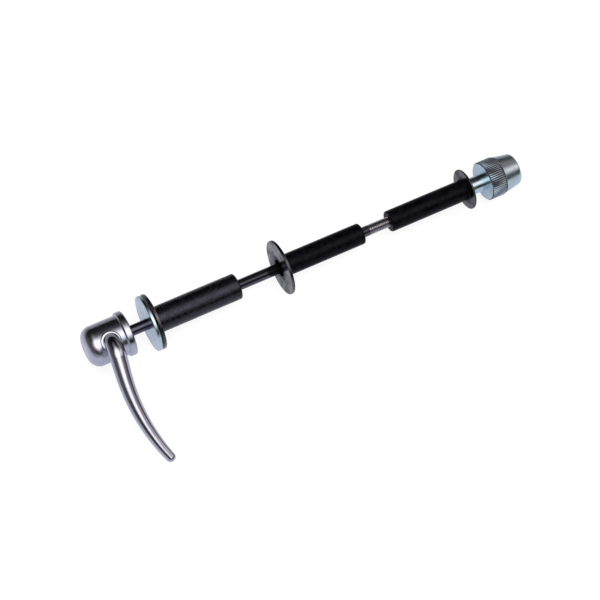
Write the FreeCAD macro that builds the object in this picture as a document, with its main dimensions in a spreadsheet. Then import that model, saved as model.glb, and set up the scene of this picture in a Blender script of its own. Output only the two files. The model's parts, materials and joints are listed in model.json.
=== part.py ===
import FreeCAD, Part
import math
import os
import re
import Sketcher

# Thru-axle adapter: a 5 mm quick-release skewer that carries flanged sleeves.
# The sleeves fill the 12 mm and 10 mm bores of thru-axle hubs, and the cam head
# and the knurled nut clamp the outside. X runs along the rod from the lever to
# the nut, the origin is on the rod axis at the 12 mm sleeve's shoulder, and the
# adapter lies as it comes to rest, on its large flanges and the lever's tip.

SIZES = {
    # Skewer rod
    "rod_diameter": 4.9,
    "rod_engagement": 7.2,
    "rod_point": 0.6,
    "eye_head_diameter": 10.4,
    "eye_head_wall": 3.0,
    "eye_head_edge": 0.6,
    # Cam lever
    "cam_diameter": 5.6,
    "cam_throw": 1.0,
    "cam_play": 0.3,
    "journal_diameter": 8.9,
    "journal_gap": 0.1,
    "journal_stand": 0.5,
    "journal_rounding": 0.3,
    "tail_diameter": 5.0,
    "stud_diameter": 4.0,
    "lever_root_diameter": 7.6,
    "lever_tip_diameter": 4.3,
    "lever_tip_rounding": 1.9,
    "lever_reach": 56.35,
    "elbow_radius": 6.4,
    "arm_straight": 8.5,
    "arm_curve_radius": 88.3,
    "arm_lean": 5.8,
    "arm_lift": 2.15,
    # Cam housing
    "barrel_diameter": 18.4,
    "barrel_rounding": 5.0,
    "housing_length": 20.5,
    "collar_diameter": 20.4,
    "collar_width": 3.3,
    "collar_rounding": 0.8,
    "collar_root": 0.4,
    "shaft_from_face": 10.05,
    "bore_floor_gap": 0.5,
    "bore_countersink": 0.2,
    "spot_face_level": 7.9,
    "spot_face_diameter": 9.4,
    # Retaining nut and washer under the housing
    "lock_washer_diameter": 8.0,
    "lock_washer_thickness": 0.6,
    "cap_nut_across_flats": 7.0,
    "cap_nut_height": 1.9,
    "cap_dome_diameter": 6.2,
    "cap_dome_height": 1.7,
    "cap_dome_rounding": 1.5,
    "cap_nut_roof": 0.8,
    # Clamp washer
    "washer_diameter": 25.8,
    "washer_thickness": 1.5,
    "washer_rounding": 0.35,
    "washer_gap": 0.65,
    "clamp_gap": 9.0,
    # Sleeves
    "sleeve_length": 40.5,
    "sleeve_large_diameter": 12.0,
    "sleeve_small_diameter": 10.0,
    "sleeve_core_diameter": 8.4,
    "guide_length": 6.0,
    "sleeve_end_rounding": 0.8,
    "flange_large_diameter": 25.8,
    "flange_large_thickness": 1.35,
    "flange_small_diameter": 19.4,
    "flange_small_thickness": 0.85,
    "flange_rounding": 0.3,
    "flange_root": 0.5,
    "first_gap": 21.1,
    "second_gap": 14.2,
    "nut_gap": 9.2,
    # Knurled nut
    "neck_diameter": 8.0,
    "neck_length": 25.0,
    "neck_chamfer": 0.5,
    "knurl_diameter": 18.6,
    "knurl_length": 8.3,
    "knurl_teeth": 60,
    "knurl_depth": 0.36,
    "knurl_overcut": 0.09,
    "knurl_chamfer": 0.45,
    "nose_base_diameter": 17.8,
    "nose_end_diameter": 14.8,
    "nose_length": 8.8,
    "nose_rounding": 1.2,
    "thread_run_out": 2.8,
    # Clearances, on the radius or along the axis
    "running_clearance": 0.05,
    "guide_clearance": 0.15,
    "eye_head_clearance": 0.2,
    "washer_clearance": 0.25,
    "shaft_end_play": 0.05,
    "rest_clearance": 0.2,
    "cut_margin": 1.0,
}

doc = FreeCAD.newDocument("thru_axle_adapter")
sheet = doc.addObject("Spreadsheet::Sheet", "Sizes")
for row, (alias, size) in enumerate(SIZES.items(), start=1):
    sheet.set(f"A{row}", alias)
    sheet.set(f"B{row}", str(size))
    sheet.setAlias(f"B{row}", alias)
doc.recompute()


def in_sheet(expression):
    """The expression with every size read from the spreadsheet."""
    return re.sub(r"[a-z_]+", lambda word: f"Sizes.{word[0]}" if word[0] in SIZES else word[0], expression)


def value(expression):
    """The number that an expression of sizes gives now."""
    return float(sheet.evalExpression(in_sheet(expression)))


def bind(item, name, expression):
    item.setExpression(name, in_sheet(expression))


# Places along the rod, each from the one before it
WASHER_RIGHT = "(-flange_large_thickness - washer_gap)"
COLLAR_FACE = f"({WASHER_RIGHT} - washer_thickness - clamp_gap)"
SHAFT = f"({COLLAR_FACE} - shaft_from_face)"
SECOND_SHOULDER = "(sleeve_length + first_gap + flange_large_thickness)"
THIRD_END = f"({SECOND_SHOULDER} + sleeve_length + second_gap)"
THIRD_SHOULDER = f"({THIRD_END} + sleeve_length)"
NUT_FACE = f"({THIRD_SHOULDER} + flange_small_thickness + nut_gap)"
ROD_END = f"({NUT_FACE} + rod_engagement)"

# The rod's eye and the bore round it, measured from the cam shaft
EYE_CENTRE = "(-cam_throw)"
EYE_WIDTH = "(cam_diameter + 2 * cam_play)"
EYE_HALF_HEAD = f"({EYE_WIDTH} / 2 + eye_head_wall)"
BORE_RADIUS = "(eye_head_diameter / 2 + eye_head_clearance)"
BORE_FLOOR = f"({EYE_CENTRE} - {EYE_HALF_HEAD} - bore_floor_gap)"

# Levels along the cam shaft, measured from the rod axis
ARM_LEVEL = "(barrel_diameter / 2 + lever_root_diameter / 2 + arm_lift)"
JOURNAL_START = f"({BORE_RADIUS} + journal_gap)"
JOURNAL_END = f"({ARM_LEVEL} - elbow_radius + journal_stand)"
LEVER_BORE_FLOOR = f"({BORE_RADIUS} + cam_play)"
CAM_FOOT = f"({LEVER_BORE_FLOOR} - shaft_end_play)"
TAIL_END = "(spot_face_level + shaft_end_play)"
CAP_SEAT = f"({TAIL_END} + lock_washer_thickness)"
STUD_END = f"({CAP_SEAT} + cap_nut_height + cap_dome_height - cap_nut_roof - running_clearance)"

# The roll about the rod that sets the lever's tip level with the large flanges
LEAN = "(arm_lean * 1 deg)"
TIP_SIDE = "(arm_curve_radius - sqrt(arm_curve_radius^2 - (lever_reach - elbow_radius - arm_straight)^2))"
TIP_OUT = f"(lever_reach * cos({LEAN}) + {TIP_SIDE} * sin({LEAN}) - lever_tip_diameter / 2)"
TIP_DROP = "(flange_large_diameter / 2 - lever_tip_diameter / 2 - rest_clearance)"
ROLL = f"atan({ARM_LEVEL} / {TIP_OUT}) + asin({TIP_DROP} / sqrt({ARM_LEVEL}^2 + {TIP_OUT}^2))"


def new_body(label, place, roll=None):
    """A body whose origin lies on the rod axis at a place along it."""
    body = doc.addObject("PartDesign::Body", label)
    body.Label = label
    if roll:
        body.Placement.Rotation = FreeCAD.Rotation(FreeCAD.Vector(1, 0, 0), value(roll))
        bind(body, "Placement.Rotation.Angle", roll)
    bind(body, "Placement.Base.x", place)
    return body


def new_sketch(body, role, name, level=None):
    """A sketch on one of the body's own planes, lifted to a level if one is given."""
    sketch = body.newObject("Sketcher::SketchObject", name)
    support = next(item for item in body.Origin.OriginFeatures if item.Role == role)
    sketch.AttachmentSupport = [(support, "")]
    sketch.MapMode = "FlatFace"
    if level:
        bind(sketch, "AttachmentOffset.Base.z", level)
    return sketch


def fix_point(sketch, geometry, point, x, y):
    """Tie a point of the sketch to expressions of sizes, or leave one way free with None."""
    for kind, axis, expression in (("DistanceX", -2, x), ("DistanceY", -1, y)):
        if expression is None:
            continue
        if expression == "0":
            sketch.addConstraint(Sketcher.Constraint("PointOnObject", geometry, point, axis))
            continue
        rule = Sketcher.Constraint(kind, -1, 1, geometry, point, value(expression))
        bind(sketch, f"Constraints[{sketch.addConstraint(rule)}]", expression)


def draw_polygon(sketch, corners):
    points = [FreeCAD.Vector(value(x), value(y), 0) for x, y in corners]
    ends = points[1:] + points[:1]
    for start, end in zip(points, ends):
        sketch.addGeometry(Part.LineSegment(start, end), False)
    for side in range(len(points)):
        follower = (side + 1) % len(points)
        sketch.addConstraint(Sketcher.Constraint("Coincident", side, 2, follower, 1))
    for side, (x, y) in enumerate(corners):
        fix_point(sketch, side, 1, x, y)


def draw_circle(sketch, diameter, x="0", y="0"):
    centre = FreeCAD.Vector(value(x), value(y), 0)
    circle = Part.Circle(centre, FreeCAD.Vector(0, 0, 1), value(diameter) / 2)
    index = sketch.addGeometry(circle, False)
    fix_point(sketch, index, 3, x, y)
    rule = Sketcher.Constraint("Diameter", index, value(diameter))
    bind(sketch, f"Constraints[{sketch.addConstraint(rule)}]", diameter)


def draw_slot(sketch, x, half_run, width):
    """A slot with round ends, centred at x and running the same way each side of the X axis."""
    radius = value(width) / 2
    normal = FreeCAD.Vector(0, 0, 1)
    top = FreeCAD.Vector(value(x), value(half_run), 0)
    bottom = FreeCAD.Vector(value(x), -value(half_run), 0)
    aside = FreeCAD.Vector(radius, 0, 0)
    sketch.addGeometry(Part.ArcOfCircle(Part.Circle(top, normal, radius), 0, math.pi), False)
    sketch.addGeometry(Part.LineSegment(top - aside, bottom - aside), False)
    sketch.addGeometry(Part.ArcOfCircle(Part.Circle(bottom, normal, radius), math.pi, 2 * math.pi), False)
    sketch.addGeometry(Part.LineSegment(bottom + aside, top + aside), False)
    for side in range(4):
        follower = (side + 1) % 4
        sketch.addConstraint(Sketcher.Constraint("Tangent", side, 2, follower, 1))
    fix_point(sketch, 0, 3, x, half_run)
    fix_point(sketch, 2, 3, x, f"-{half_run}")
    rule = Sketcher.Constraint("Radius", 0, radius)
    bind(sketch, f"Constraints[{sketch.addConstraint(rule)}]", f"{width} / 2")


def turn(body, name, corners, kind="PartDesign::Revolution"):
    """A profile of (place along X, radius) turned about the rod axis."""
    sketch = new_sketch(body, "XY_Plane", f"{name}Profile")
    draw_polygon(sketch, corners)
    feature = body.newObject(kind, name)
    feature.Profile = sketch
    feature.ReferenceAxis = (sketch, ["H_Axis"])
    feature.Angle = 360
    doc.recompute()
    return feature


def pad_round(body, name, diameter, level, length, down=False, x="0", y="0"):
    """A round boss that starts at a level along the cam shaft."""
    sketch = new_sketch(body, "XY_Plane", f"{name}Circle", level)
    draw_circle(sketch, diameter, x, y)
    pad = body.newObject("PartDesign::Pad", name)
    pad.Profile = sketch
    bind(pad, "Length", length)
    pad.Reversed = down
    doc.recompute()
    return pad


def cut_through(body, name, sketch, up=False):
    """Cut a sketch through everything on one side of it, and see that it cut."""
    before = body.Shape.Volume
    pocket = body.newObject("PartDesign::Pocket", name)
    pocket.Profile = sketch
    pocket.Type = "ThroughAll"
    pocket.Reversed = up
    doc.recompute()
    if body.Shape.Volume >= before:
        raise RuntimeError(f"{body.Label}: {name} cuts nothing")
    return pocket


def drill(body, name, diameter, level=None, up=False):
    sketch = new_sketch(body, "XY_Plane", f"{name}Circle", level)
    draw_circle(sketch, diameter)
    return cut_through(body, name, sketch, up)


def ring_edges(feature, rings):
    """The names of the round edges about the rod axis at each (place, radius)."""
    found = []
    for place, radius in rings:
        for index, edge in enumerate(feature.Shape.Edges, start=1):
            curve = edge.Curve
            if not isinstance(curve, Part.Circle):
                continue
            near = math.isclose(curve.Center.x, value(place), abs_tol=1e-4)
            if near and math.isclose(curve.Radius, value(radius), abs_tol=1e-4):
                found.append(f"Edge{index}")
    if len(found) < len(rings):
        raise RuntimeError(f"{feature.Label}: an edge to dress is missing")
    return found


def top_edges(feature, level):
    """The names of the edges that lie wholly at a level along the cam shaft."""
    height = value(level)
    return [
        f"Edge{index}"
        for index, edge in enumerate(feature.Shape.Edges, start=1)
        if all(math.isclose(end, height, abs_tol=1e-4) for end in (edge.BoundBox.ZMin, edge.BoundBox.ZMax))
    ]


def dress(body, name, edges, size, kind="PartDesign::Fillet"):
    """Round or chamfer edges of the body's last feature."""
    base = body.Tip
    feature = body.newObject(kind, name)
    feature.Base = (base, edges)
    bind(feature, "Radius" if kind.endswith("Fillet") else "Size", size)
    doc.recompute()
    if not feature.isValid():
        raise RuntimeError(f"{body.Label}: {name} can't be dressed")
    return feature


def make_skewer_rod():
    """Forged rod: a slotted eye at the cam end, a plain shank and a pointed end."""
    body = new_body("skewer_rod", SHAFT, ROLL)
    head_left = f"({EYE_CENTRE} - {EYE_HALF_HEAD})"
    head_right = f"({EYE_CENTRE} + {EYE_HALF_HEAD})"
    end = f"({ROD_END} - {SHAFT})"
    head = "eye_head_diameter / 2"
    shank = "rod_diameter / 2"
    turned = turn(body, "Rod", [
        (head_left, "0"),
        (head_left, head),
        (head_right, head),
        (f"{head_right} + ({head} - {shank})", shank),
        (f"{end} - rod_point", shank),
        (end, f"{shank} - rod_point"),
        (end, "0"),
    ])
    dress(body, "HeadEdge", ring_edges(turned, [(head_left, head)]), "eye_head_edge")
    slot = new_sketch(body, "XY_Plane", "EyeSlot")
    draw_slot(slot, EYE_CENTRE, "cam_throw", EYE_WIDTH)
    for name, up in (("EyeUpper", True), ("EyeLower", False)):
        cut_through(body, name, slot, up)
    return body


def make_cam_housing():
    """One forged barrel with a collar, bored for the rod's eye and across for the cam shaft."""
    body = new_body("cam_housing", SHAFT, ROLL)
    face = "shaft_from_face"
    back = "(shaft_from_face - housing_length)"
    step = "(shaft_from_face - collar_width)"
    barrel = "barrel_diameter / 2"
    collar = "collar_diameter / 2"
    turned = turn(body, "Barrel", [
        (back, "0"), (back, barrel), (step, barrel), (step, collar), (face, collar), (face, "0"),
    ])
    dress(body, "BarrelEnd", ring_edges(turned, [(back, barrel)]), "barrel_rounding")
    collar_rings = [(step, collar), (face, collar)]
    dress(body, "CollarEdges", ring_edges(body.Tip, collar_rings), "collar_rounding")
    dress(body, "CollarRoot", ring_edges(body.Tip, [(step, barrel)]), "collar_root")
    mouth = f"({face} + cut_margin)"
    turn(body, "EyeBore", [
        (BORE_FLOOR, "0"), (BORE_FLOOR, BORE_RADIUS), (mouth, BORE_RADIUS), (mouth, "0"),
    ], "PartDesign::Groove")
    drill(body, "LeverBore", "journal_diameter + 2 * running_clearance", f"-{LEVER_BORE_FLOOR}", up=True)
    drill(body, "TailBore", "tail_diameter + 2 * running_clearance")
    drill(body, "SpotFace", "spot_face_diameter", "-spot_face_level")
    wall = value("journal_diameter / 2 + running_clearance")
    rim = []
    for index, edge in enumerate(body.Tip.Shape.Edges, start=1):
        outside = edge.BoundBox.ZMin > value(BORE_RADIUS)
        if outside and math.isclose(edge.BoundBox.XMax, wall, abs_tol=1e-3):
            rim.append(f"Edge{index}")
    dress(body, "LeverBoreRim", rim, "bore_countersink", "PartDesign::Chamfer")
    return body


def make_cam_lever():
    """Forged lever: cam shaft, elbow and a round arm that tapers along a curve."""
    body = new_body("cam_lever", SHAFT, ROLL)
    journal_run = f"{JOURNAL_END} - {JOURNAL_START}"
    journal = pad_round(body, "Journal", "journal_diameter", JOURNAL_START, journal_run)
    dress(body, "JournalEdge", top_edges(journal, JOURNAL_END), "journal_rounding")
    pad_round(body, "Cam", "cam_diameter", JOURNAL_START, f"{JOURNAL_START} + {CAM_FOOT}", True, EYE_CENTRE)
    pad_round(body, "Tail", "tail_diameter", f"-{CAM_FOOT}", f"{TAIL_END} - {CAM_FOOT}", True)
    pad_round(body, "Stud", "stud_diameter", f"-{TAIL_END}", f"{STUD_END} - {TAIL_END}", True)

    elbow_section = new_sketch(body, "XY_Plane", "ElbowSection", f"{ARM_LEVEL} - elbow_radius")
    bind(elbow_section, "AttachmentOffset.Rotation.Angle", "-arm_lean")
    draw_circle(elbow_section, "lever_root_diameter")
    half_axis = value("lever_root_diameter")
    offset = value("elbow_radius")
    ends = [FreeCAD.Vector(side * half_axis, -offset, 0) for side in (-1, 1)]
    axis = elbow_section.addGeometry(Part.LineSegment(*ends), True)
    fix_point(elbow_section, axis, 1, "-lever_root_diameter", "-elbow_radius")
    fix_point(elbow_section, axis, 2, "lever_root_diameter", "-elbow_radius")
    doc.recompute()
    elbow = body.newObject("PartDesign::Revolution", "Elbow")
    elbow.Profile = elbow_section
    elbow.ReferenceAxis = (elbow_section, ["Axis0"])
    elbow.Angle = 90
    doc.recompute()

    path = new_sketch(body, "XY_Plane", "ArmPath", ARM_LEVEL)
    bind(path, "AttachmentOffset.Rotation.Angle", "-arm_lean")
    start = FreeCAD.Vector(0, -value("elbow_radius"), 0)
    bend = FreeCAD.Vector(0, -value("elbow_radius + arm_straight"), 0)
    radius = value("arm_curve_radius")
    sweep = math.asin(value("lever_reach - elbow_radius - arm_straight") / radius)
    curve = Part.Circle(bend + FreeCAD.Vector(radius, 0, 0), FreeCAD.Vector(0, 0, 1), radius)
    path.addGeometry(Part.LineSegment(start, bend), False)
    path.addGeometry(Part.ArcOfCircle(curve, math.pi, math.pi + sweep), False)
    path.addConstraint(Sketcher.Constraint("Coincident", 0, 2, 1, 1))
    fix_point(path, 0, 1, "0", "-elbow_radius")
    fix_point(path, 0, 2, "0", "-elbow_radius - arm_straight")
    fix_point(path, 1, 3, "arm_curve_radius", "-elbow_radius - arm_straight")
    fix_point(path, 1, 2, None, "-lever_reach")
    doc.recompute()

    sections = []
    for name, edge, place, diameter in (
        ("ArmRoot", "Edge1", 0.0, "lever_root_diameter"),
        ("ArmTip", "Edge2", 1.0, "lever_tip_diameter"),
    ):
        section = body.newObject("Sketcher::SketchObject", name)
        section.AttachmentSupport = [(path, edge)]
        section.MapMode = "NormalToEdge"
        section.MapPathParameter = place
        draw_circle(section, diameter)
        sections.append(section)
    doc.recompute()
    arm = body.newObject("PartDesign::AdditivePipe", "Arm")
    arm.Profile = sections[0]
    arm.Spine = (path, ["Edge1", "Edge2"])
    arm.Sections = [(sections[1], [""])]
    arm.Transformation = "Multisection"
    doc.recompute()
    tip = path.Shape.Edges[1].lastVertex().Point
    rim = [
        f"Edge{index}"
        for index, edge in enumerate(arm.Shape.Edges, start=1)
        if edge.CenterOfMass.distanceToPoint(tip) < value("lever_tip_diameter") / 4
    ]
    dress(body, "ArmTipRounding", rim, "lever_tip_rounding")
    return body


def make_lock_washer():
    """Thin washer between the housing's spot-face and the cap nut."""
    body = new_body("lever_washer", SHAFT, ROLL)
    pad_round(body, "Disc", "lock_washer_diameter", f"-{TAIL_END}", "lock_washer_thickness", True)
    drill(body, "Hole", "stud_diameter + 2 * running_clearance")
    return body


def make_cap_nut():
    """Low hexagon cap nut that keeps the lever in the housing."""
    body = new_body("lever_cap_nut", SHAFT, ROLL)
    sketch = new_sketch(body, "XY_Plane", "Hexagon", f"-{CAP_SEAT}")
    corner = "cap_nut_across_flats / 2 / cos(30 deg)"
    draw_polygon(sketch, [
        (f"{corner} * cos({60 * side + 30} deg)", f"{corner} * sin({60 * side + 30} deg)")
        if side not in (1, 4)
        else ("0", f"{corner} * sin({60 * side + 30} deg)")
        for side in range(6)
    ])
    prism = body.newObject("PartDesign::Pad", "Prism")
    prism.Profile = sketch
    bind(prism, "Length", "cap_nut_height")
    prism.Reversed = True
    doc.recompute()
    top = f"({CAP_SEAT} + cap_nut_height)"
    dome = pad_round(body, "Dome", "cap_dome_diameter", f"-{top}", "cap_dome_height", True)
    dress(body, "DomeRounding", top_edges(dome, f"-({top} + cap_dome_height)"), "cap_dome_rounding")
    hole = new_sketch(body, "XY_Plane", "ThreadCircle", f"-{CAP_SEAT}")
    draw_circle(hole, "stud_diameter + 2 * running_clearance")
    before = body.Shape.Volume
    pocket = body.newObject("PartDesign::Pocket", "Thread")
    pocket.Profile = hole
    bind(pocket, "Length", "cap_nut_height + cap_dome_height - cap_nut_roof")
    doc.recompute()
    if body.Shape.Volume >= before:
        raise RuntimeError("lever_cap_nut: the thread cuts nothing")
    return body


def make_clamp_washer():
    """Stamped washer that bears on the 12 mm sleeve's flange."""
    body = new_body("clamp_washer", WASHER_RIGHT)
    rim = "washer_diameter / 2"
    hole = "rod_diameter / 2 + washer_clearance"
    left = "-washer_thickness"
    turned = turn(body, "Disc", [(left, hole), (left, rim), ("0", rim), ("0", hole)])
    dress(body, "Rim", ring_edges(turned, [(left, rim), ("0", rim)]), "washer_rounding")
    return body


def make_sleeve(label, place, diameter, flange, thickness, turned_round=False):
    """Flanged sleeve, cored from the flange, with a guide land for the rod at its free end."""
    body = new_body(label, place)
    if turned_round:
        body.Placement.Rotation = FreeCAD.Rotation(FreeCAD.Vector(0, 0, 1), 180)
    outside = f"{diameter} / 2"
    rim = f"{flange} / 2"
    core = "sleeve_core_diameter / 2"
    guide = "rod_diameter / 2 + guide_clearance"
    face = f"-{thickness}"
    land = "sleeve_length - guide_length"
    turned = turn(body, "Sleeve", [
        (face, core),
        (face, rim),
        ("0", rim),
        ("0", outside),
        ("sleeve_length", outside),
        ("sleeve_length", guide),
        (land, guide),
        (land, core),
    ])
    dress(body, "FreeEnd", ring_edges(turned, [("sleeve_length", outside)]), "sleeve_end_rounding")
    dress(body, "FlangeRim", ring_edges(body.Tip, [(face, rim), ("0", rim)]), "flange_rounding")
    dress(body, "FlangeRoot", ring_edges(body.Tip, [("0", outside)]), "flange_root")
    return body


def make_knurled_nut():
    """Turned nut: a neck that enters the sleeve, a straight-knurled band and a tapered nose."""
    body = new_body("knurled_nut", NUT_FACE)
    neck = "neck_diameter / 2"
    knurl = "knurl_diameter / 2"
    thread = "rod_diameter / 2 + running_clearance"
    front = "(-neck_length)"
    end = "(knurl_length + nose_length)"
    floor = "(rod_engagement + thread_run_out)"
    turned = turn(body, "Nut", [
        (front, thread),
        (front, neck),
        ("0", neck),
        ("0", knurl),
        ("knurl_length", knurl),
        ("knurl_length", "nose_base_diameter / 2"),
        (end, "nose_end_diameter / 2"),
        (end, "0"),
        (floor, "0"),
        (floor, thread),
    ])
    dress(body, "NoseEdge", ring_edges(turned, [(end, "nose_end_diameter / 2")]), "nose_rounding")
    neck_edge = ring_edges(body.Tip, [(front, neck)])
    dress(body, "NeckFront", neck_edge, "neck_chamfer", "PartDesign::Chamfer")
    front_edge = ring_edges(body.Tip, [("0", knurl)])
    dress(body, "BandFront", front_edge, "knurl_chamfer", "PartDesign::Chamfer")
    back_edge = ring_edges(body.Tip, [("knurl_length", knurl)])
    dress(body, "BandBack", back_edge, "(knurl_diameter - nose_base_diameter) / 4", "PartDesign::Chamfer")
    sketch = new_sketch(body, "YZ_Plane", "KnurlGroove")
    bottom = f"({knurl} - knurl_depth)"
    mouth = f"({knurl} + knurl_overcut)"
    half_width = f"(tan(180 deg / knurl_teeth) * {mouth})"
    draw_polygon(sketch, [("0", bottom), (half_width, mouth), (f"-{half_width}", mouth)])
    groove = cut_through(body, "KnurlCut", sketch, True)
    pattern = body.newObject("PartDesign::PolarPattern", "Knurl")
    pattern.Originals = [groove]
    pattern.Axis = (sketch, ["N_Axis"])
    pattern.Angle = 360
    bind(pattern, "Occurrences", "knurl_teeth")
    body.Tip = pattern
    doc.recompute()
    return body


bodies = [
    make_skewer_rod(),
    make_cam_housing(),
    make_cam_lever(),
    make_lock_washer(),
    make_cap_nut(),
    make_clamp_washer(),
    make_sleeve(
        "sleeve_12", "0", "sleeve_large_diameter",
        "flange_large_diameter", "flange_large_thickness",
    ),
    make_sleeve(
        "sleeve_10_left", SECOND_SHOULDER, "sleeve_small_diameter",
        "flange_large_diameter", "flange_large_thickness",
    ),
    make_sleeve(
        "sleeve_10_right", THIRD_SHOULDER, "sleeve_small_diameter",
        "flange_small_diameter", "flange_small_thickness", turned_round=True,
    ),
    make_knurled_nut(),
]
doc.recompute()

for item in doc.Objects:
    if "Invalid" in item.State or "Error" in item.State:
        raise RuntimeError(f"{item.Label} failed: {item.State}")
os.makedirs("parts", exist_ok=True)
for body in bodies:
    if body.Shape.isNull() or not body.Shape.isValid():
        raise RuntimeError(f"{body.Label} has no valid shape")
for body in bodies:
    body.Shape.exportStep(f"parts/{body.Label}.step")
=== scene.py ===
import json
import math

import bmesh
import bpy
from bpy.props import FloatProperty, FloatVectorProperty, IntProperty, PointerProperty
from bpy.types import Operator, Panel, PropertyGroup
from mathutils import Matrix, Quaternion, Vector


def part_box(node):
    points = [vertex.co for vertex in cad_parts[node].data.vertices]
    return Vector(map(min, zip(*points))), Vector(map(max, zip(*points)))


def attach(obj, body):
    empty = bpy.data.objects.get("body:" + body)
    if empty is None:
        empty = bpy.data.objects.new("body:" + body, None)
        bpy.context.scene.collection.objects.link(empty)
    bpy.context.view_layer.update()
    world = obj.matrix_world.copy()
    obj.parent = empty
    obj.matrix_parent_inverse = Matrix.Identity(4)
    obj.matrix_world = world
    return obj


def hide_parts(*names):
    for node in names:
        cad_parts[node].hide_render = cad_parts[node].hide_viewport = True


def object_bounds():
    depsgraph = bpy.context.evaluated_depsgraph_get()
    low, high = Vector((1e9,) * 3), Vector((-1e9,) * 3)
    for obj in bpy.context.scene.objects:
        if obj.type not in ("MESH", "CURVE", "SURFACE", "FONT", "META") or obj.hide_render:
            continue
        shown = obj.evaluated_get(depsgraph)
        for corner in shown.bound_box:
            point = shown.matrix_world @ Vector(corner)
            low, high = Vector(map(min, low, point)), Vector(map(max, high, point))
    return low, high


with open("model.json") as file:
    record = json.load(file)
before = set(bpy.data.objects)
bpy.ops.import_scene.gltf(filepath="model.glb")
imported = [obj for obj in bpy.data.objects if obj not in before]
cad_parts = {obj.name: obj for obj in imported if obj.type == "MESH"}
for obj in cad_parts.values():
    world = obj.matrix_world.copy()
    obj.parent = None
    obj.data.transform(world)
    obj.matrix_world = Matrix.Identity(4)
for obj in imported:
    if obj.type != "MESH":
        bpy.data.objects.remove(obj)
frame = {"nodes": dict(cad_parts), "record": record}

CAD_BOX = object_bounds()

bl_info = {
    "name": "Thru-Axle Adapter",
    "version": (1, 0, 0),
    "blender": (4, 5, 0),
    "location": "View3D > Sidebar > Adapter",
    "description": "Models and finishes a quick-release skewer with flanged sleeves",
    "category": "Object",
}

MM = 0.001
MERGE = 1e-6
SLIVER = 10 * MERGE
CUT_SNAP = MERGE / 10
SMOOTH_ANGLE = math.radians(32)
FLANK_ANGLE = math.radians(30)

# Each tooth of the knurl is spun in this many columns. Of those in its groove, the middle one is
# pressed in by the whole depth and the two beside it by half
TOOTH_COLUMNS = 6
GROOVE_COLUMNS = (((4,), 1.0), ((3, 5), 0.5))

# Places that come from the frame
ROD_LOW, ROD_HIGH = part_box("skewer_rod")
NUT_LOW, NUT_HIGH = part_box("knurled_nut")
MIDDLE_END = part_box("sleeve_10_left")[1].x
SWING = next(j for j in frame["record"]["behaviour"]["joints"] if j["name"] == "lever_swing")
SHAFT_AXIS = -Vector(SWING["axis"])

# Lamps: the way to each from the part's middle, and its sides, in metres
SOFTBOX_WAY = Vector((-0.1, -0.36, 0.93)).normalized()
SOFTBOX_SIZE = (0.7, 0.5)
PANEL_WAY = Vector((0.1, 0.2, 1.5))
PANEL_SIZE = (2.0, 2.0)

# Light that the finishes mirror. Each patch has its angles from overhead towards +X and +Y and its
# spread along both, in degrees, and its power
LIGHT_PATCHES = (
    ((-5, -18.5), (30, 27.5), 2.7),
    ((-8, 18), (18, 24), 0.3),
    ((48, -17), (16, 20), 1.0),
    ((58, 15), (18, 36), 0.3),
)


# Modelling steps that several pieces share


def draw_profile(name, points):
    """Draw half a section in the XZ plane, point by point, and stay in edit mode."""
    bpy.ops.object.select_all(action="DESELECT")
    bpy.ops.mesh.primitive_plane_add(size=MM)
    piece = bpy.context.object
    piece.name = piece.data.name = name
    bpy.ops.object.mode_set(mode="EDIT")
    bpy.ops.mesh.select_mode(type="VERT")
    bpy.ops.mesh.select_all(action="SELECT")
    bpy.ops.mesh.merge(type="CENTER")
    along, out = points[0]
    bpy.ops.transform.translate(value=(along, 0, out))
    for (x0, r0), (x1, r1) in zip(points, points[1:]):
        bpy.ops.mesh.extrude_vertices_move(TRANSFORM_OT_translate={"value": (x1 - x0, 0, r1 - r0)})
    return piece


def pick(piece, kind, test):
    """Select the vertices or faces in edit mode whose middle passes a test, and count them."""
    bpy.ops.mesh.select_mode(type=kind)
    bpy.ops.mesh.select_all(action="DESELECT")
    shape = bmesh.from_edit_mesh(piece.data)
    found = 0
    for part in shape.verts if kind == "VERT" else shape.faces:
        part.select = test(part.co if kind == "VERT" else part.calc_center_median())
        found += part.select
    shape.select_flush_mode()
    bmesh.update_edit_mesh(piece.data)
    return found


def round_corners(piece, corners, segments):
    """Round the named corners of a drawn profile, each by its own radius."""
    for (along, out), radius in corners:
        corner = Vector((along, 0, out))
        if not pick(piece, "VERT", lambda co: (co - corner).length < 2 * MERGE):
            raise RuntimeError(f"{piece.name} has no corner at {along:.5f}, {out:.5f}")
        bpy.ops.mesh.bevel(
            offset=radius, offset_type="OFFSET", segments=segments, affect="VERTICES")


def spin_profile(sides):
    """Turn the drawn profile once round the rod's axis and close the seam."""
    bpy.ops.mesh.select_all(action="SELECT")
    bpy.ops.mesh.spin(steps=sides, angle=2 * math.pi, center=(0, 0, 0), axis=(1, 0, 0))
    close_shape()


def close_shape():
    """Merge what meets in edit mode, and turn all faces outward."""
    bpy.ops.mesh.select_all(action="SELECT")
    bpy.ops.mesh.remove_doubles(threshold=MERGE)
    bpy.ops.mesh.normals_make_consistent(inside=False)


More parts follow.
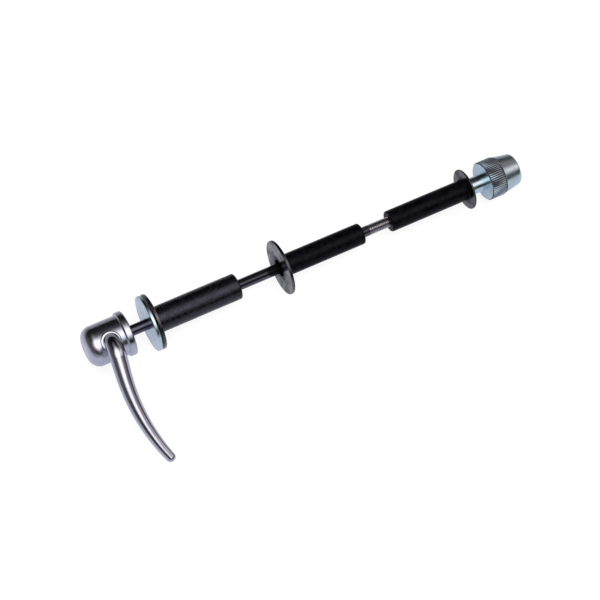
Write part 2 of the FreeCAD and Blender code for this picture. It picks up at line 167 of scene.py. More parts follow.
def join_solid(piece, tool, operation):
    """Add or cut another solid with a Boolean modifier, remove it and clean the seam."""
    bpy.ops.object.select_all(action="DESELECT")
    piece.select_set(True)
    bpy.context.view_layer.objects.active = piece
    bpy.ops.object.modifier_add(type="BOOLEAN")
    modifier = piece.modifiers[-1]
    modifier.operation = operation
    modifier.solver = "EXACT"
    modifier.object = tool
    bpy.ops.object.modifier_apply(modifier=modifier.name)
    bpy.data.objects.remove(tool)
    bpy.ops.object.mode_set(mode="EDIT")
    close_shape()
    bpy.ops.mesh.dissolve_degenerate(threshold=SLIVER)
    bpy.ops.mesh.select_mode(type="FACE")
    bpy.ops.mesh.select_all(action="DESELECT")
    bpy.ops.mesh.select_face_by_sides(number=4, type="GREATER")
    bpy.ops.mesh.quads_convert_to_tris(ngon_method="BEAUTY")
    bpy.ops.object.mode_set(mode="OBJECT")


def finish_piece(piece, body, node, slot, *materials):
    """Smooth a piece, give it its finish and let it stand for its CAD node."""
    bpy.ops.object.select_all(action="DESELECT")
    piece.select_set(True)
    bpy.context.view_layer.objects.active = piece
    bpy.ops.object.shade_smooth_by_angle(angle=SMOOTH_ANGLE)
    for material in materials:
        piece.data.materials.append(material)
    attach(piece, body)
    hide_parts(node)


def finish_node(name, material):
    """Give a CAD node its finish."""
    node = frame["nodes"][name]
    node.data.materials.clear()
    node.data.materials.append(material)


# Shader parts


def add_node(tree, kind, **settings):
    """Add a node with its settings."""
    made = tree.nodes.new(kind)
    for key, setting in settings.items():
        setattr(made, key, setting)
    return made


def feed(tree, made, **values):
    """Set or link a node's inputs, each by its name with underscores for spaces or as i0, i1."""
    for key, given in values.items():
        numbered = key[0] == "i" and key[1:].isdigit()
        socket = made.inputs[int(key[1:]) if numbered else key.replace("_", " ")]
        if isinstance(given, bpy.types.NodeSocket):
            tree.links.new(given, socket)
        else:
            socket.default_value = given
    return made


def math_node(tree, operation, first, second):
    made = add_node(tree, "ShaderNodeMath", operation=operation)
    return feed(tree, made, i0=first, i1=second).outputs[0]


def remap(tree, value, span=(0.0, 1.0), to=(0.0, 1.0)):
    """A value taken smoothly from one span to another, and held at its ends."""
    made = add_node(tree, "ShaderNodeMapRange", interpolation_type="SMOOTHSTEP")
    feed(tree, made, Value=value, From_Min=span[0], From_Max=span[1], To_Min=to[0], To_Max=to[1])
    return made.outputs["Result"]


def blend_colour(tree, share, first, second):
    made = add_node(tree, "ShaderNodeMix", data_type="RGBA")
    return feed(tree, made, i0=share, i6=first, i7=second).outputs[2]


def shaded(tone, factor):
    """A colour made darker or lighter."""
    return [part * factor for part in tone[:3]] + [1]


def new_group(name, inputs, outputs):
    """An empty node group, with its input and output nodes."""
    tree = bpy.data.node_groups.new(name, "ShaderNodeTree")
    for label, kind, default in inputs:
        socket = tree.interface.new_socket(name=label, in_out="INPUT", socket_type=kind)
        if default is not None:
            socket.default_value = default
    for label in outputs:
        tree.interface.new_socket(name=label, in_out="OUTPUT", socket_type="NodeSocketFloat")
    return tree, tree.nodes.new("NodeGroupInput"), tree.nodes.new("NodeGroupOutput")


def turned_rings():
    """Fine rings that a lathe tool leaves round the rod's axis, on walls and end faces."""
    tree, given, out = new_group("Turned Rings", (
        ("Place", "NodeSocketVector", None),
        ("Spacing", "NodeSocketFloat", 0.1),
    ), ("Height", "Streak", "Radius"))
    parts = add_node(tree, "ShaderNodeSeparateXYZ")
    feed(tree, parts, Vector=given.outputs["Place"])
    flat = add_node(tree, "ShaderNodeCombineXYZ")
    feed(tree, flat, Y=parts.outputs["Y"], Z=parts.outputs["Z"])
    radius = add_node(tree, "ShaderNodeVectorMath", operation="LENGTH")
    feed(tree, radius, Vector=flat.outputs[0])
    travel = math_node(tree, "ADD", parts.outputs["X"], radius.outputs["Value"])
    step = math_node(tree, "DIVIDE", travel, given.outputs["Spacing"])
    fine = add_node(tree, "ShaderNodeTexNoise", noise_dimensions="1D")
    feed(tree, fine, W=step, Scale=1.0, Detail=2.0)
    broad = add_node(tree, "ShaderNodeTexNoise", noise_dimensions="1D")
    feed(tree, broad, W=step, Scale=0.17, Detail=3.0)
    streak = remap(tree, broad.outputs["Fac"], span=(0.3, 0.7))
    feed(tree, out, Height=fine.outputs["Fac"], Streak=streak, Radius=radius.outputs["Value"])
    return tree


def handling_marks():
    """Soft clouds and fine specks that handling leaves on a finish."""
    tree, given, out = new_group("Handling Marks", (
        ("Place", "NodeSocketVector", None),
        ("Size", "NodeSocketFloat", 4.0),
    ), ("Cloud", "Speck"))
    scaled = add_node(tree, "ShaderNodeVectorMath", operation="DIVIDE")
    feed(tree, scaled, i0=given.outputs["Place"], i1=given.outputs["Size"])
    cloud = add_node(tree, "ShaderNodeTexNoise")
    feed(tree, cloud, Vector=scaled.outputs[0], Scale=1.0, Detail=4.0, Roughness=0.55)
    speck = add_node(tree, "ShaderNodeTexNoise")
    feed(tree, speck, Vector=scaled.outputs[0], Scale=14.0, Detail=2.0)
    clouded = remap(tree, cloud.outputs["Fac"], span=(0.35, 0.65))
    feed(tree, out, Cloud=clouded, Speck=speck.outputs["Fac"])
    return tree


def new_finish(name):
    """Make a material, and give its node tree, its place in millimetres and its shader."""
    material = bpy.data.materials.new(name)
    material.use_nodes = True
    tree = material.node_tree
    place = add_node(tree, "ShaderNodeTexCoord")
    scale = add_node(tree, "ShaderNodeMapping")
    feed(tree, scale, Vector=place.outputs["Object"], Scale=(1 / MM, 1 / MM, 1 / MM))
    return tree, scale.outputs[0], tree.nodes["Principled BSDF"]


def use_group(tree, group, place, **values):
    made = add_node(tree, "ShaderNodeGroup", node_tree=group)
    return feed(tree, made, Place=place, **values).outputs


def bump(tree, height, strength, distance):
    made = add_node(tree, "ShaderNodeBump")
    feed(tree, made, Height=height, Strength=strength, Distance=distance)
    return made.outputs["Normal"]


def chrome_finish(name, haze, colours, marks):
    """Chrome plate with an uneven haze."""
    tree, place, shader = new_finish(name)
    cloud = use_group(tree, marks, place, Size=4.0)["Cloud"]
    tint = blend_colour(tree, cloud, colours.chrome, shaded(colours.chrome, factor=0.93))
    uneven = 0.07
    rough = remap(tree, cloud, to=(haze, haze + uneven))
    feed(tree, shader, Base_Color=tint, Roughness=rough, Metallic=1.0)
    feed(tree, shader, Normal=bump(tree, cloud, strength=0.12, distance=0.06 * MM))


def knurl_shadow(tree, place, radius, nut):
    """How much painted shade lies on the nut's knurl, deepest in its grooves and faint on its
    crests.
    """
    crest = nut.knurl_diameter / 2 / MM
    groove_middle = crest - nut.knurl_depth / 2 / MM
    nose = nut.nose_base / 2 / MM
    margin = 0.01  # millimetres
    parts = add_node(tree, "ShaderNodeSeparateXYZ")
    feed(tree, parts, Vector=place)
    on_nut = math_node(tree, "GREATER_THAN", parts.outputs["X"], NUT_LOW.x / MM)
    on_knurl = math_node(tree, "GREATER_THAN", radius, nose + margin)
    # Painted shade: the knurl darkens towards the bottom of its grooves
    shadow = remap(tree, radius, span=(groove_middle, crest - margin), to=(0.97, 0.05))
    return math_node(tree, "MULTIPLY", shadow, math_node(tree, "MULTIPLY", on_nut, on_knurl))


def zinc_finish(name, colours, nut, marks, rings):
    """Clear zinc plate on turned steel, with painted shade darkening the grooves of the nut's
    knurl.
    """
    tree, place, shader = new_finish(name)
    cloud = use_group(tree, marks, place, Size=6.0)["Cloud"]
    lathe = use_group(tree, rings, place, Spacing=0.12)
    tint = blend_colour(tree, cloud, colours.zinc, colours.zinc_dull)
    streak_share = 0.25
    streaked = math_node(tree, "MULTIPLY", lathe["Streak"], streak_share)
    tint = blend_colour(tree, streaked, tint, colours.zinc_dull)
    # Painted shade: the knurl's grooves are blended towards a dark shadow tone
    shadow = knurl_shadow(tree, place, lathe["Radius"], nut)
    tint = blend_colour(tree, shadow, tint, colours.shadow_tone)
    rough = remap(tree, cloud, to=(0.2, 0.26))
    feed(tree, shader, Base_Color=tint, Roughness=rough, Metallic=1.0)
    feed(tree, shader, Normal=bump(tree, lathe["Height"], strength=0.15, distance=0.01 * MM))


def sleeve_finish(name, gloss, dent, tube, colours, marks, rings):
    """Black of a sleeve whose flange has a glossier skin past the tube's radius in millimetres."""
    tree, place, shader = new_finish(name)
    smudge = use_group(tree, marks, place, Size=2.2)
    dents = use_group(tree, marks, place, Size=1.5)["Cloud"]
    smears = use_group(tree, marks, place, Size=5.0)["Cloud"]
    radius = use_group(tree, rings, place)["Radius"]
    tint = blend_colour(tree, smudge["Cloud"], colours.sleeve, colours.sleeve_worn)
    satin, dented, smeared = 0.29, 0.18 * dent, 0.12 * dent
    rough = math_node(tree, "ADD", remap(tree, dents, to=(satin - dented, satin + dented)),
                      remap(tree, smears, to=(smeared, -smeared)))
    height = math_node(tree, "ADD", dents, smudge["Speck"])
    skin_start, skin_full = tube + 0.1, tube + 1.6
    skin = math_node(tree, "MULTIPLY", remap(tree, radius, span=(skin_start, skin_full)),
                     remap(tree, smears, to=(1.0, 0.35)))
    feed(tree, shader, Base_Color=tint, Roughness=rough, IOR=gloss,
         Specular_Tint=colours.sleeve_sheen)
    feed(tree, shader, Coat_Weight=skin, Coat_Roughness=0.22, Coat_IOR=1.75)
    feed(tree, shader, Normal=bump(tree, height, strength=dent, distance=0.04 * MM))


def rod_finish(name, colours, marks):
    """Black oxide, smooth and a little worn."""
    tree, place, shader = new_finish(name)
    smudge = use_group(tree, marks, place, Size=3.5)
    tint = blend_colour(tree, smudge["Cloud"], colours.rod, shaded(colours.rod, factor=1.8))
    rough = remap(tree, smudge["Cloud"], to=(0.13, 0.17))
    feed(tree, shader, Base_Color=tint, Roughness=rough, IOR=1.85,
         Specular_Tint=colours.sleeve_sheen)
    feed(tree, shader, Normal=bump(tree, smudge["Speck"], strength=0.05, distance=0.004 * MM))


def thread_finish(name, colours, marks):
    """Bare steel as thread rolling leaves it."""
    tree, place, shader = new_finish(name)
    smudge = use_group(tree, marks, place, Size=1.5)
    dull = shaded(colours.thread, factor=0.75)
    tint = blend_colour(tree, smudge["Cloud"], colours.thread, dull)
    rough = remap(tree, smudge["Cloud"], to=(0.24, 0.3))
    feed(tree, shader, Base_Color=tint, Roughness=rough, Metallic=1.0)
    feed(tree, shader, Normal=bump(tree, smudge["Speck"], strength=0.08, distance=0.004 * MM))


def finish(name):
    """A finish by its name, made with the others on first use."""
    if name not in bpy.data.materials:
        scene = bpy.context.scene
        colours, rings, marks = scene.adapter_colours, turned_rings(), handling_marks()
        black = {"colours": colours, "marks": marks, "rings": rings}
        chrome_finish("Bright Chrome", haze=0.09, colours=colours, marks=marks)
        chrome_finish("Soft Chrome", haze=0.18, colours=colours, marks=marks)
        zinc_finish("Zinc Plate", colours, scene.adapter_nut, marks, rings)
        sleeve_finish("Satin Black", gloss=1.5, dent=0.5, tube=6.0, **black)
        sleeve_finish("Dull Black", gloss=1.17, dent=0.15, tube=5.0, **black)
        rod_finish("Black Oxide", colours, marks)
        thread_finish("Rolled Thread Steel", colours, marks)
    return bpy.data.materials[name]


# Sizes and colours


def length(label, about, default):
    """A length in metres."""
    return FloatProperty(name=label, description=about, default=default, unit="LENGTH", precision=5)


def colour(label, about, default):
    """An opaque colour."""
    return FloatVectorProperty(
        name=label, description=about, default=(*default, 1.0), size=4, subtype="COLOR",
        min=0, max=1)


class RodSizes(PropertyGroup):
    diameter: length("Diameter", "Outside diameter of the rod and of its thread", 4.9 * MM)
    head_diameter: length("Head Diameter", "Diameter of the eye's round head", 10.4 * MM)
    head_wall: length("Head Wall", "Wall of the head before and after the eye", 3.0 * MM)
    head_edge: length("Head Edge", "Rounding of the head's outer edge", 0.6 * MM)
    eye_width: length("Eye Width", "Width of the slotted eye round the cam", 6.2 * MM)
    eye_throw: length("Eye Throw", "From the slot's middle to the centre of each end", 1.0 * MM)
    eye_sides: IntProperty(name="Eye Sides", description="Sides of the eye's round", default=64)
    thread_start: length("Thread Start", "Plain rod past the middle sleeve's end", 3.75 * MM)
    thread_pitch: length("Thread Pitch", "Advance of the thread in one turn", 0.8 * MM)
    thread_depth: length("Thread Depth", "Height of the thread from root to crest", 0.43 * MM)
    thread_sides: IntProperty(
        name="Thread Sides", description="Steps in one turn of the thread", default=36)
    sides: IntProperty(name="Sides", description="Sides of the round rod", default=72)


class NutSizes(PropertyGroup):
    neck_diameter: length("Neck Diameter", "Diameter of the neck that enters the sleeve", 8.0 * MM)
    neck_length: length("Neck Length", "Length of the neck in front of the knurl", 25.0 * MM)
    neck_chamfer: length("Neck Chamfer", "Chamfer at the neck's front", 0.5 * MM)
    bore_diameter: length("Bore Diameter", "Diameter of the blind bore", 5.0 * MM)
    bore_depth: length("Bore Depth", "Depth of the bore past the knurl's face", 10.0 * MM)
    knurl_diameter: length("Knurl Diameter", "Diameter over the knurl's crests", 18.6 * MM)
    knurl_length: length("Knurl Length", "Length of the knurled band", 8.3 * MM)
    knurl_depth: length("Knurl Depth", "Depth of the grooves between the crests", 0.36 * MM)
    knurl_chamfer: length("Knurl Chamfer", "Length of the chamfer at the knurl's face", 0.45 * MM)
    knurl_runout: length("Knurl Runout", "Length of the knurl's slope to the nose", 1.15 * MM)
    nose_base: length("Nose Base", "Diameter of the nose next to the knurl", 17.8 * MM)
    nose_end: length("Nose End", "Diameter of the nose at its flat end", 14.8 * MM)
    nose_rounding: length("Nose Rounding", "Rounding at the nose's end", 1.2 * MM)
    teeth: IntProperty(name="Teeth", description="Crests round the knurl", default=60, min=12)


class FinishColours(PropertyGroup):
    chrome: colour("Chrome", "Bright chrome of the head and lever", (0.5, 0.525, 0.6))
    zinc: colour("Zinc", "Clear zinc plate of the nut and washers", (0.53, 0.69, 0.75))
    zinc_dull: colour("Dull Zinc", "Zinc plate where it is dulled", (0.47, 0.59, 0.65))
    # Painted shade colour for the grooves of the knurl
    shadow_tone: colour("Darkening", "Dark film in the knurl's grooves", (0.028, 0.024, 0.042))
    sleeve: colour("Sleeve", "Satin black of the sleeves", (0.001, 0.001, 0.0014))
    sleeve_worn: colour("Worn Sleeve", "Sleeves where they have greyed", (0.004, 0.0037, 0.0052))
    sleeve_sheen: colour("Sleeve Sheen", "Tint of what the blacks mirror", (0.75, 0.77, 1.0))
    rod: colour("Rod", "Black oxide of the rod", (0.002, 0.002, 0.0022))
    thread: colour("Thread", "Bare rolled steel of the thread", (0.4, 0.39, 0.42))


class StageSettings(PropertyGroup):
    camera_place: FloatVectorProperty(
        name="Camera Place", description="Where the camera stands", subtype="XYZ", unit="LENGTH",
        default=(-0.1384035, -0.2545607, 0.6656665), precision=6)
    camera_aim: FloatVectorProperty(
        name="Camera Aim", description="Point at the middle of the picture", subtype="XYZ",
        unit="LENGTH", default=(0.0627809, -0.0178205, 0.0), precision=6)
    camera_roll: FloatProperty(
        name="Camera Roll", description="Turn of the camera about its view", subtype="ANGLE",
        default=math.radians(14.22463))
    lens: FloatProperty(
        name="Lens", description="Focal length in millimetres", default=99.27627)
    floor_gap: length("Floor Gap", "Space between the lowest point and the floor", 0.05 * MM)
    floor_bounce: colour("Floor Bounce", "Floor as it throws light back", (0.8, 0.8, 0.8))
    floor_seen: colour("Floor Seen", "Floor's shade where it is seen", (0.22, 0.22, 0.22))
    floor_glow: colour("Floor Glow", "Light that is added to the seen floor", (0.83, 0.83, 0.83))
    floor_mirrored: colour("Mirrored Floor", "Floor that the finishes mirror", (0.5, 0.505, 0.6))
    floor_far: colour("Far Floor", "Mirrored floor away from the part", (0.03, 0.027, 0.025))
    room: colour("Room", "Tint of the light that the finishes mirror", (1.0, 0.94, 0.94))
    room_side: colour("Room Side", "Tint of the mirrored light at the nut", (1.0, 0.84, 0.82))
    key_power: FloatProperty(
        name="Key Power", description="Power of the softbox by the camera", default=2.5)
    fill_power: FloatProperty(
        name="Fill Power", description="Power of the large overhead panel", default=10.0)


# Pieces


class ADAPTER_OT_rod(Operator):
    """Model the skewer rod: a slotted eye, a plain shank and a rolled thread"""
    bl_idname = "adapter.rod"
    bl_label = "Skewer Rod"

    def execute(self, context):
        sizes = context.scene.adapter_rod
        radius = sizes.diameter / 2
        head = sizes.head_diameter / 2
        head_left = ROD_LOW.x
        head_right = head_left + sizes.eye_width + 2 * sizes.head_wall
        thread_left = MIDDLE_END + sizes.thread_start
        depth = sizes.thread_depth
        root = radius - depth
        # The shank's end narrows to less than the thread's root, so that the solids overlap
        core = root - depth / 4
        shank_end = thread_left + 2 * depth
        rod = draw_profile("skewer_rod_threaded", [
            (head_left, 0),
            (head_left, head),
            (head_right, head),
            (head_right + head - radius, radius),
            (thread_left, radius),
            (shank_end, core),
            (shank_end, 0),
        ])
        round_corners(rod, [((head_left, head), sizes.head_edge)], segments=4)
        spin_profile(sizes.sides)
        bpy.ops.object.mode_set(mode="OBJECT")
        join_solid(rod, self.eye(sizes), "DIFFERENCE")
        join_solid(rod, self.thread(sizes, thread_left + depth / 8, root, radius), "UNION")
        finish_piece(rod, "skewer", "skewer_rod", "black_rod",
                     finish("Black Oxide"), finish("Rolled Thread Steel"))
        bpy.ops.object.mode_set(mode="EDIT")
        if not pick(rod, "FACE", lambda co: co.x > thread_left):
            raise RuntimeError("the rod has no thread to finish in steel")
        rod.active_material_index = 1
        bpy.ops.object.material_slot_assign()
        bpy.ops.object.mode_set(mode="OBJECT")
        return {"FINISHED"}

    def eye(self, sizes):
        """Cutter of the slotted eye, along the lever's shaft."""
        centre = Vector((ROD_LOW.x + sizes.head_wall + sizes.eye_width / 2, 0, 0))
        bpy.ops.object.select_all(action="DESELECT")
        bpy.ops.mesh.primitive_cylinder_add(
            vertices=sizes.eye_sides, radius=sizes.eye_width / 2, depth=2 * sizes.head_diameter,
            location=centre, rotation=SHAFT_AXIS.to_track_quat("Z", "Y").to_euler())
        cutter = bpy.context.object
        bpy.ops.object.transform_apply(location=True, rotation=True, scale=True)
        bpy.ops.object.mode_set(mode="EDIT")
        aside = SHAFT_AXIS.cross(Vector((1, 0, 0)))
        for way in (-1, 1):
            if not pick(cutter, "VERT", lambda co: way * aside.dot(co) > MERGE):
                raise RuntimeError("the eye's cutter has no side to move")
            bpy.ops.transform.translate(value=way * sizes.eye_throw * aside)
        bpy.ops.object.mode_set(mode="OBJECT")
        return cutter

    def thread(self, sizes, left, root, crest):
        """One pitch of the thread, screwed along the rod and cut off square."""
        pitch = sizes.thread_pitch
        flank = sizes.thread_depth * math.tan(FLANK_ANGLE)
        flat = pitch / 8  # crest of a metric thread
        foot = (pitch - flat) / 2 - flank
        begin = left - 2 * pitch
        turns = math.ceil((ROD_HIGH.x - begin) / pitch) + 1
        ridge = draw_profile("thread", [
            (begin, root),
            (begin + foot, root),
            (begin + foot + flank, crest),
            (begin + foot + flank + flat, crest),
            (begin + foot + 2 * flank + flat, root),
            (begin + pitch, root),
        ])
        bpy.ops.object.mode_set(mode="OBJECT")
        bpy.ops.object.modifier_add(type="SCREW")
        screw = ridge.modifiers[-1]
        screw.axis = "X"
        screw.screw_offset = pitch
        screw.iterations = turns
        screw.steps = screw.render_steps = sizes.thread_sides
        screw.use_merge_vertices = True
        screw.merge_threshold = MERGE
        bpy.ops.object.modifier_apply(modifier=screw.name)
        bpy.ops.object.mode_set(mode="EDIT")
        close_shape()
        for place, clear_inner in ((left, True), (ROD_HIGH.x, False)):
            bpy.ops.mesh.select_all(action="SELECT")
            bpy.ops.mesh.bisect(
                plane_co=(place, 0, 0), plane_no=(1, 0, 0), use_fill=True, threshold=CUT_SNAP,
                clear_inner=clear_inner, clear_outer=not clear_inner)
        close_shape()
        bpy.ops.object.mode_set(mode="OBJECT")
        return ridge


class ADAPTER_OT_head(Operator):
    """Finish the cam housing, the lever and what holds the lever"""
    bl_idname = "adapter.head"
    bl_label = "Cam Head and Lever"

    def execute(self, context):
        finish_node("cam_housing", finish("Soft Chrome"))
        finish_node("cam_lever", finish("Bright Chrome"))
        finish_node("lever_cap_nut", finish("Bright Chrome"))
        finish_node("lever_washer", finish("Zinc Plate"))
        finish_node("clamp_washer", finish("Zinc Plate"))
        return {"FINISHED"}


class ADAPTER_OT_sleeves(Operator):
    """Finish the three flanged sleeves"""
    bl_idname = "adapter.sleeves"
    bl_label = "Flanged Sleeves"

    def execute(self, context):
        finish_node("sleeve_12", finish("Satin Black"))
        finish_node("sleeve_10_left", finish("Dull Black"))
        finish_node("sleeve_10_right", finish("Dull Black"))
        return {"FINISHED"}


class ADAPTER_OT_nut(Operator):
    """Model the knurled nut: a neck, a straight knurl and a tapered nose"""
    bl_idname = "adapter.nut"
    bl_label = "Knurled Nut"

    def execute(self, context):
        sizes = context.scene.adapter_nut
        front = NUT_LOW.x
        face = front + sizes.neck_length
        knurl_end = face + sizes.knurl_length
        end = NUT_HIGH.x
        neck = sizes.neck_diameter / 2
        crest = sizes.knurl_diameter / 2
        groove = crest - sizes.knurl_depth
        low = groove - sizes.knurl_chamfer / 4  # foot of the knurl's slopes
        bore = sizes.bore_diameter / 2
        base = sizes.nose_base / 2
        top = sizes.nose_end / 2
        recess = sizes.knurl_chamfer / 3  # undercut between the knurl and the nose
        # Rings on both sides of the nose's rounding keep its shading off the taper and the end
        hold = 1.4 * sizes.nose_rounding
        nut = draw_profile("knurled_nut_turned", [
            (face + sizes.bore_depth, 0),
            (face + sizes.bore_depth, bore),
            (front + sizes.neck_chamfer, bore),
            (front, bore + sizes.neck_chamfer),
            (front, neck - sizes.neck_chamfer),
            (front + sizes.neck_chamfer, neck),
            (face, neck),
            (face, low),
            (face + sizes.knurl_chamfer, crest),
            (knurl_end - sizes.knurl_runout, crest),
            (knurl_end, low),
            (knurl_end, base - recess),
            (knurl_end + recess, base - recess),
            (knurl_end + recess, base),
            (end - hold, top + hold * (base - top) / (end - knurl_end - recess)),
            (end, top),
            (end, top - hold),
            (end, 0),
        ])
        round_corners(nut, [((end, top), sizes.nose_rounding)], segments=6)
        spin_profile(TOOTH_COLUMNS * sizes.teeth)
        self.cut_grooves(nut, sizes, face, crest)
        bpy.ops.object.mode_set(mode="OBJECT")
        finish_piece(nut, "nut", "knurled_nut", "zinc_plate", finish("Zinc Plate"))
        return {"FINISHED"}

    def cut_grooves(self, nut, sizes, face, crest):
        """Press the grooves of the knurl in, each with two flanks that meet in a line."""
        left = face + sizes.knurl_chamfer - MERGE
        right = face + sizes.knurl_length - sizes.knurl_runout + MERGE
        step = 2 * math.pi / (TOOTH_COLUMNS * sizes.teeth)

        def on_column(co, columns):
            column = round(math.atan2(co.y, co.z) / step) % TOOTH_COLUMNS
            on_crest = left < co.x < right and math.hypot(co.y, co.z) > crest - MERGE
            return on_crest and column in columns

        for columns, share in GROOVE_COLUMNS:
            if not pick(nut, "VERT", lambda co: on_column(co, columns)):
                raise RuntimeError("the knurl has no crests to groove")
            scale = 1 - share * sizes.knurl_depth / crest
            bpy.ops.transform.resize(value=(1, scale, scale), center_override=(0, 0, 0))
        close_shape()


class ADAPTER_OT_stage(Operator):
    """Lay the floor and set the lamps, the surroundings and the camera"""
    bl_idname = "adapter.stage"
    bl_label = "Stage"

    def execute(self, context):
        settings = context.scene.adapter_stage
        context.scene.view_settings.view_transform = "Standard"
        self.floor(settings)
        self.lamps(settings)
        self.surroundings(context, settings)
        self.camera(context, settings)
        return {"FINISHED"}

    def floor(self, settings):
        """A white floor that looks darker, and shaded, where the finishes mirror it."""
        bpy.ops.object.select_all(action="DESELECT")
        bpy.ops.mesh.primitive_plane_add(
            size=12, location=(0, 0, CAD_BOX[0].z - settings.floor_gap))
        plane = bpy.context.object
        plane.name = "floor"
        bpy.ops.object.transform_apply(location=True)
        material = bpy.data.materials.new("White Table")
        material.use_nodes = True
        tree = material.node_tree
        tree.nodes.remove(tree.nodes["Principled BSDF"])
        rays = add_node(tree, "ShaderNodeLightPath").outputs
        seen = math_node(tree, "MAXIMUM", rays["Is Camera Ray"], rays["Is Glossy Ray"])
        seen = math_node(tree, "MAXIMUM", seen, rays["Is Transmission Ray"])
        shade = add_node(tree, "ShaderNodeBsdfDiffuse")
        feed(tree, shade, Color=blend_colour(
            tree, seen, settings.floor_bounce, settings.floor_seen))
        place = add_node(tree, "ShaderNodeTexCoord")
        parts = add_node(tree, "ShaderNodeSeparateXYZ")
        feed(tree, parts, Vector=place.outputs["Object"])
        by_head = remap(tree, parts.outputs["X"], span=(-0.13, -0.06), to=(0.3, 1.0))
        in_front = remap(tree, parts.outputs["Y"], span=(0.018, 0.08), to=(1.0, 0.1))
        near = math_node(tree, "MULTIPLY", by_head, in_front)
        mirrored = blend_colour(tree, near, settings.floor_far, settings.floor_mirrored)
        tone = blend_colour(tree, rays["Is Camera Ray"], mirrored, settings.floor_glow)
        glow = add_node(tree, "ShaderNodeEmission")
        feed(tree, glow, Color=tone, Strength=seen)
        both = add_node(tree, "ShaderNodeAddShader")
        feed(tree, both, i0=shade.outputs[0], i1=glow.outputs[0])
        tree.links.new(both.outputs[0], tree.nodes["Material Output"].inputs["Surface"])
        plane.data.materials.append(material)

    def lamps(self, settings):
        """A softbox by the camera and a panel overhead, which the finishes don't mirror."""
        middle = (CAD_BOX[0] + CAD_BOX[1]) / 2
        for name, way, size, power in (
            ("softbox", SOFTBOX_WAY, SOFTBOX_SIZE, settings.key_power),
            ("overhead_panel", PANEL_WAY, PANEL_SIZE, settings.fill_power),
        ):
            place = middle + way
            bpy.ops.object.light_add(type="AREA", location=place)
            lamp = bpy.context.object
            lamp.name = name
            lamp.data.shape = "RECTANGLE"
            lamp.data.size, lamp.data.size_y = size
            lamp.data.energy = power
            lamp.rotation_mode = "QUATERNION"
            lamp.rotation_quaternion = (middle - place).to_track_quat("-Z", "Y")
            lamp.visible_camera = False
            lamp.visible_glossy = False

    def surroundings(self, context, settings):
        """White for the camera, and for the finishes a dim room with patches of light."""
        world = bpy.data.worlds.new("Dim Studio")
        context.scene.world = world
        world.use_nodes = True
        tree = world.node_tree
        way = add_node(tree, "ShaderNodeTexCoord").outputs["Generated"]
        parts = add_node(tree, "ShaderNodeSeparateXYZ")
        feed(tree, parts, Vector=way)
        across, behind, up = (parts.outputs[axis] for axis in "XYZ")
        angles = add_node(tree, "ShaderNodeCombineXYZ")
        feed(tree, angles, X=math_node(tree, "ARCTAN2", across, up),
             Y=math_node(tree, "ARCTAN2", behind, up))
        lights = [self.patch(tree, angles.outputs[0], *patch) for patch in LIGHT_PATCHES]
        # Dim walls at the nut's end and at the head's, and a low one in front
        lights.append(remap(tree, across, span=(0.35, 0.8), to=(0.012, 0.12)))
        lights.append(remap(tree, across, span=(-0.5, -0.95), to=(0.0, 0.12)))
        lights.append(math_node(tree, "MULTIPLY", remap(tree, behind, span=(-0.4, -0.85)),
                                remap(tree, up, span=(0.06, 0.24), to=(0.6, 0.0))))
        total = lights[0]
        for light in lights[1:]:
            total = math_node(tree, "ADD", total, light)
        side = remap(tree, across, span=(0.35, 0.7))
        room = tree.nodes["Background"]
        feed(tree, room, Color=blend_colour(tree, side, settings.room, settings.room_side),
             Strength=total)
        white = add_node(tree, "ShaderNodeBackground")
        feed(tree, white, Color=(1, 1, 1, 1), Strength=1.0)
        rays = add_node(tree, "ShaderNodeLightPath").outputs
        seen = math_node(tree, "MAXIMUM", rays["Is Camera Ray"], rays["Is Transmission Ray"])
        choose = add_node(tree, "ShaderNodeMixShader")
        feed(tree, choose, i0=seen, i1=room.outputs[0], i2=white.outputs[0])
        tree.links.new(choose.outputs[0], tree.nodes["World Output"].inputs["Surface"])

    def patch(self, tree, angles, middle, spread, power):
        """A soft patch of light, with its angles and spreads in degrees."""
        offset = add_node(tree, "ShaderNodeVectorMath", operation="SUBTRACT")
        feed(tree, offset, i0=angles, i1=(*map(math.radians, middle), 0))
        scaled = add_node(tree, "ShaderNodeVectorMath", operation="DIVIDE")
        feed(tree, scaled, i0=offset.outputs[0], i1=(*map(math.radians, spread), 1))
        away = add_node(tree, "ShaderNodeVectorMath", operation="LENGTH")
        feed(tree, away, Vector=scaled.outputs[0])
        return remap(tree, away.outputs["Value"], span=(0.25, 1.75), to=(power, 0.0))

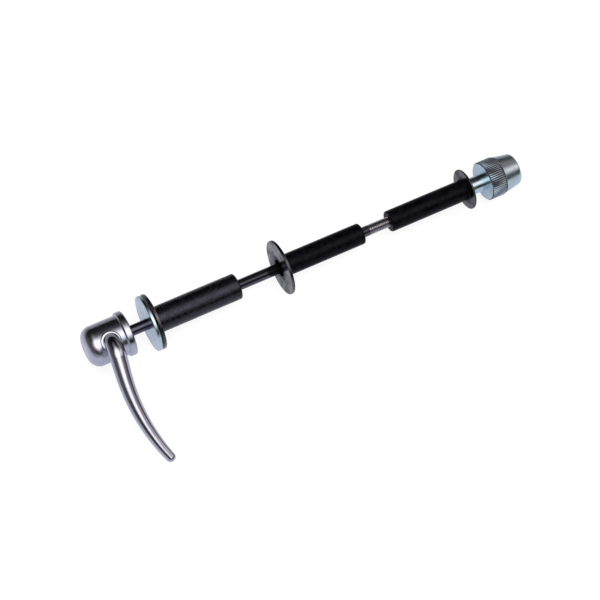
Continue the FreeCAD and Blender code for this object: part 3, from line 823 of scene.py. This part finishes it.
    def camera(self, context, settings):
        """The photo's camera, fitted to the outline of the part."""
        place = Vector(settings.camera_place)
        bpy.ops.object.camera_add(location=place)
        camera = bpy.context.object
        camera.name = "photo_camera"
        camera.data.sensor_width = 36
        camera.data.sensor_fit = "HORIZONTAL"
        camera.data.lens = settings.lens
        camera.data.clip_start = 0.01
        level = (Vector(settings.camera_aim) - place).to_track_quat("-Z", "Y")
        camera.rotation_mode = "QUATERNION"
        camera.rotation_quaternion = level @ Quaternion((0, 0, 1), settings.camera_roll)
        context.scene.camera = camera


class ADAPTER_PT_panel(Panel):
    """Buttons for the pieces and the stage, and all their settings"""
    bl_idname = "ADAPTER_PT_panel"
    bl_label = "Thru-Axle Adapter"
    bl_space_type = "VIEW_3D"
    bl_region_type = "UI"
    bl_category = "Adapter"

    def draw(self, context):
        for operator in OPERATORS:
            self.layout.operator(operator.bl_idname)
        for name in SETTINGS:
            box = self.layout.box()
            group = getattr(context.scene, name)
            for key in group.__annotations__:
                box.prop(group, key)


SETTINGS = {
    "adapter_rod": RodSizes,
    "adapter_nut": NutSizes,
    "adapter_colours": FinishColours,
    "adapter_stage": StageSettings,
}
OPERATORS = (ADAPTER_OT_rod, ADAPTER_OT_head, ADAPTER_OT_sleeves, ADAPTER_OT_nut, ADAPTER_OT_stage)


def register():
    for group in SETTINGS.values():
        bpy.utils.register_class(group)
    for name, group in SETTINGS.items():
        setattr(bpy.types.Scene, name, PointerProperty(type=group))
    for operator in OPERATORS:
        bpy.utils.register_class(operator)
    bpy.utils.register_class(ADAPTER_PT_panel)


def unregister():
    bpy.utils.unregister_class(ADAPTER_PT_panel)
    for operator in reversed(OPERATORS):
        bpy.utils.unregister_class(operator)
    for name, group in SETTINGS.items():
        delattr(bpy.types.Scene, name)
        bpy.utils.unregister_class(group)


def main():
    register()
    bpy.ops.adapter.rod()
    bpy.ops.adapter.head()
    bpy.ops.adapter.sleeves()
    bpy.ops.adapter.nut()
    bpy.ops.adapter.stage()


if __name__ == "__main__":
    main()
